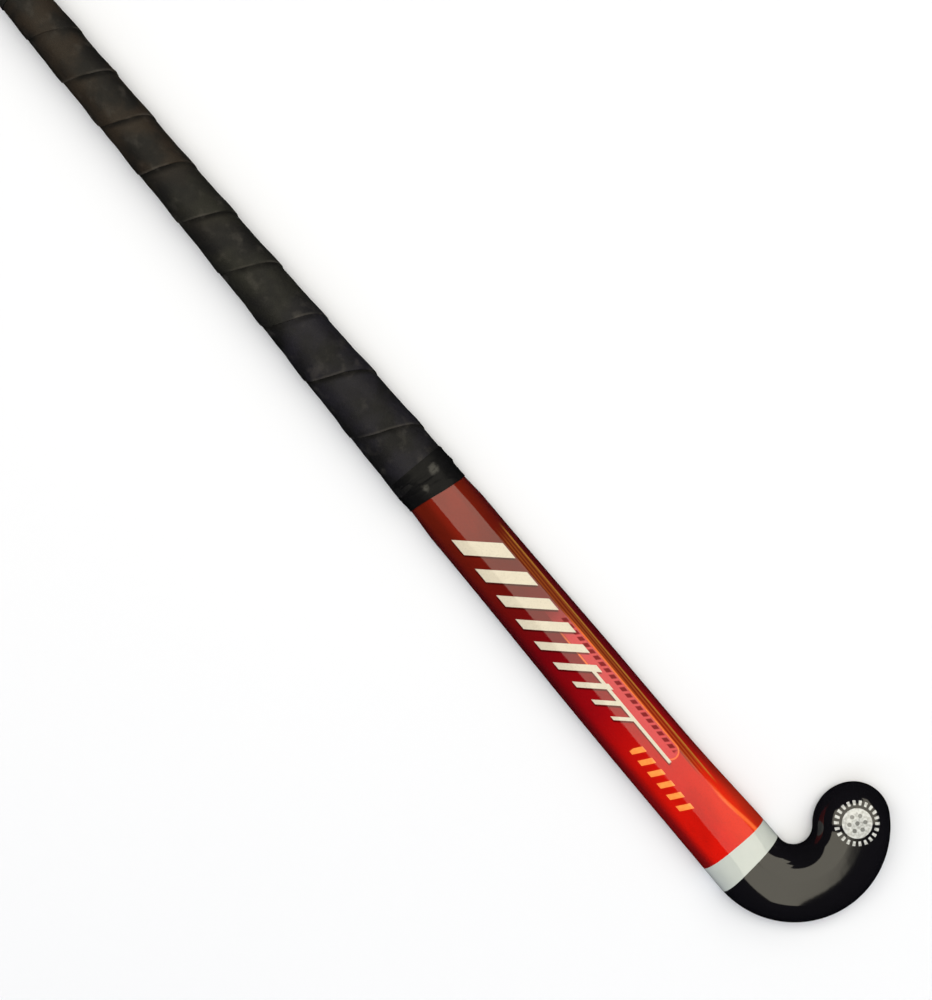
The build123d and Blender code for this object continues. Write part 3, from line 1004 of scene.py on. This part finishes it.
def tape_pvc():
    """Stretched PVC tape, dull where it was handled and still shiny in a few spots."""
    p = Paint("tape_pvc", Specular_IOR_Level=0.1, Coat_Roughness=0.2)
    p.colour(p.mix(p.noise(3.0, 4.0), srgb(9, 9, 11), srgb(17, 17, 20)))
    p.rough(0.40 + 0.2 * p.noise(6.0, 2.0))
    shine = 0.0
    for x, y, radius in SHINY_SPOTS:
        away = p.distance(p.x, p.y, x, y) + 5.0 * p.noise(3.0, 3.0)
        shine = shine + (1.0 - p.step(away, radius, radius + 3.0))
    p.coat(0.03 + shine * 0.6)
    p.bump(p.noise(3.4, 3.0, (0.7, 1.4, 1.4)), 0.16)
    return p.material


def moulded_rubber(name, light, dark, rough):
    """Moulded rubber with a fine eggshell surface."""
    p = Paint(name, Specular_IOR_Level=0.4)
    p.colour(p.mix(p.noise(8.0, 5.0), light, dark))
    p.rough(rough + 0.12 * p.noise(3.0, 3.0))
    p.bump(p.noise(0.5, 3.0), 0.04)
    return p.material


def wood(name, light, dark, line):
    """Wood with its grain along the stick: fine fibres and darker growth lines."""
    p = Paint(name, Specular_IOR_Level=0.35)
    fibres = p.noise(0.8, 5.0, (40.0, 1.0, 1.0))
    bands = p.noise(3.2, 3.0, (26.0, 1.0, 1.0))
    tone = p.mix(fibres, light, dark)
    p.colour(p.mix(p.step(bands, 0.50, 0.72) * 0.6, tone, line))
    p.rough(0.55 + 0.2 * fibres)
    p.bump(fibres, 0.05)
    return p.material


def cloth(name, light, dark, pitch, rough=0.8):
    """Woven or wound threads: crossed waves of one thread's pitch, in millimetres."""
    p = Paint(name, Specular_IOR_Level=0.3, Sheen_Weight=0.2)
    warp = p.math("SINE", p.x * (2 * math.pi / pitch)) * 0.5 + 0.5
    weft = p.math("SINE", (p.y + p.z) * (2 * math.pi / pitch)) * 0.5 + 0.5
    weave = p.math("MAXIMUM", warp, weft * 0.8)
    p.colour(p.mix(weave, dark, p.mix(p.noise(6.0, 4.0), light, dark)))
    p.rough(rough + 0.1 * p.noise(4.0, 2.0))
    p.bump(weave, 0.12)
    return p.material


def inner_materials():
    """The hidden layers' materials, by the record's slots."""
    return {
        "cane": wood("cane", srgb(214, 184, 128), srgb(186, 150, 92), srgb(150, 112, 62)),
        "mulberry_veneer": wood(
            "mulberry_veneer", srgb(196, 150, 96), srgb(164, 116, 66), srgb(120, 78, 40)),
        "insert_rubber": moulded_rubber("insert_rubber", srgb(40, 40, 40), srgb(28, 28, 28), 0.6),
        "cap_rubber": moulded_rubber("cap_rubber", srgb(34, 33, 32), srgb(24, 24, 24), 0.42),
        "twine": cloth("twine", srgb(198, 184, 148), srgb(146, 130, 96), 1.1),
        "splice_cloth": cloth("splice_cloth", srgb(214, 210, 194), srgb(172, 168, 150), 0.8),
        "glass_fibre": cloth("glass_fibre", srgb(176, 184, 164), srgb(132, 142, 122), 1.4, 0.4),
        "cushion_foam": moulded_rubber("cushion_foam", srgb(70, 70, 70), srgb(52, 52, 52), 0.8),
    }


# ---------------------------------------------------------------- the pieces


def dress_inner_nodes():
    """Gives every CAD node that stays its procedural material."""
    materials = inner_materials()
    slots = {part["node"]: part["material_slot"] for part in frame["record"]["subparts"]}
    for node, obj in frame["nodes"].items():
        if slots[node] in materials:
            obj.data.materials.clear()
            obj.data.materials.append(materials[slots[node]])


def build_skins():
    """The printed sleeve, the neck band and the head, as three skins over one surface. Gives the head."""
    sleeve_x = np.concatenate([np.arange(SLEEVE_START, BAND_START - 1.0, 2.0), [BAND_START]])
    skin_piece("shaft_sleeve", [shaft_row(x) for x in sleeve_x], SKIN, shaft_print(), "shaft_print",
               "printed_sleeve")
    white = lacquer("band_lacquer", srgb(196, 202, 203), srgb(182, 190, 191), 14.0, 0.03, 0.30)
    skin_piece("white_band", band_rows(), SKIN, white, "band_lacquer", "neck_band")
    black = lacquer("head_lacquer", srgb(12, 12, 15), srgb(18, 17, 23), 30.0, 0.07, 0.24)
    return skin_piece("head_skin", head_rows(), HEAD_SKIN, black, "head_lacquer", "head_shell")


# ---------------------------------------------------------------- floor, light and camera

VIEW_X, VIEW_Y = 420.2, 10.9  # the point of the stick in the picture's middle
VIEW_HEIGHT = 616.5  # how much of the stick's plane the picture is tall
VIEW_DISTANCE = 1500.0
VIEW_UP = Vector((-0.7666, 0.6421, 0.0))
SENSOR = 36.0

FLOOR_HALF = 8.0  # metres, as all of the lengths below are
FLOOR_DROP = 0.0006
FLOOR_LIGHT, FLOOR_DARK = (0.82, 0.85, 0.97, 1), (0.80, 0.83, 0.95, 1)
SKY_STRENGTH = 0.3
PANEL_HEIGHT = 2.2
SOFTBOX_RADIANCE, SOFTBOX_COLOUR = 2.6, (1.0, 0.94, 0.76)
FILL_RADIANCE, FILL_COLOUR = 0.9, (0.80, 0.90, 1.0)
# Left, right, bottom and top of each softbox, from the camera's foot and turned as the camera is
SOFTBOXES = {
    "softbox": (-2.4, 2.8, -0.42, 1.3),
    "upper_softbox": (1.5, 2.8, 1.3, 3.2),
    "corner_softbox": (0.9, 1.5, 1.3, 2.0),
    "lower_softbox": (0.15, 0.566, -1.6, -0.42),
}
FILL = (-3.2, 3.2, -3.2, -1.7)


def looking_down():
    """The rotation of a camera or lamp that looks straight down, with its top toward VIEW_UP."""
    back = Vector((0, 0, 1))
    right = VIEW_UP.cross(back).normalized()
    return Matrix((right, back.cross(right), back)).transposed().to_euler()


def add_camera():
    """The camera, straight above the stick."""
    data = bpy.data.cameras.new("camera")
    data.sensor_width = SENSOR
    data.lens = SENSOR * VIEW_DISTANCE / VIEW_HEIGHT
    data.clip_end = 50.0
    camera = bpy.data.objects.new("camera", data)
    camera.location = stick_place(VIEW_X, VIEW_Y, VIEW_DISTANCE)
    camera.rotation_euler = looking_down()
    bpy.context.scene.collection.objects.link(camera)
    bpy.context.scene.camera = camera


def add_panel(name, sides, radiance, colour, mirrored=True):
    """A soft rectangular light overhead."""
    left, right, bottom, top = sides
    data = bpy.data.lights.new(name, "AREA")
    data.shape = "RECTANGLE"
    data.size, data.size_y = right - left, top - bottom
    data.energy = radiance * math.pi * data.size * data.size_y
    data.color = colour
    lamp = bpy.data.objects.new(name, data)
    up = VIEW_UP.normalized()
    above = Vector((0, 0, PANEL_HEIGHT))
    across = up.cross(Vector((0, 0, 1)))
    foot = stick_place(VIEW_X, VIEW_Y, 0)
    lamp.location = foot + across * (left + right) / 2 + up * (bottom + top) / 2 + above
    lamp.rotation_euler = looking_down()
    lamp.visible_camera = False
    lamp.visible_glossy = mirrored
    bpy.context.scene.collection.objects.link(lamp)


def add_floor():
    """A plain pale floor, which the gloss doesn't mirror."""
    mesh = bpy.data.meshes.new("floor")
    h = FLOOR_HALF
    mesh.from_pydata([(-h, -h, 0), (h, -h, 0), (h, h, 0), (-h, h, 0)], [], [(0, 1, 2, 3)])
    floor = bpy.data.objects.new("floor", mesh)
    floor.location.z = -FLOOR_DROP
    floor.visible_glossy = False
    bpy.context.scene.collection.objects.link(floor)
    pale = Paint("floor", Roughness=0.9, Specular_IOR_Level=0.1)
    pale.colour(pale.mix(pale.noise(400.0, 2.0), FLOOR_LIGHT, FLOOR_DARK))
    mesh.materials.append(pale.material)


def add_light():
    """A dim even sky, large softboxes, and a cooler fill that isn't mirrored."""
    world = bpy.data.worlds.new("sky")
    bpy.context.scene.world = world
    world.use_nodes = True
    world.node_tree.nodes["Background"].inputs["Color"].default_value = (1, 1, 1, 1)
    world.node_tree.nodes["Background"].inputs["Strength"].default_value = SKY_STRENGTH
    world.cycles_visibility.glossy = False
    for name, sides in SOFTBOXES.items():
        add_panel(name, sides, SOFTBOX_RADIANCE, SOFTBOX_COLOUR)
    add_panel("fill", FILL, FILL_RADIANCE, FILL_COLOUR, mirrored=False)
    bpy.context.scene.view_settings.view_transform = "Standard"


add_camera()
add_floor()
add_light()
dress_inner_nodes()
head = build_skins()
wound_strip(grip_leather())
crinkled_tape(tape_pvc())
toe_badge(head, badge_print())
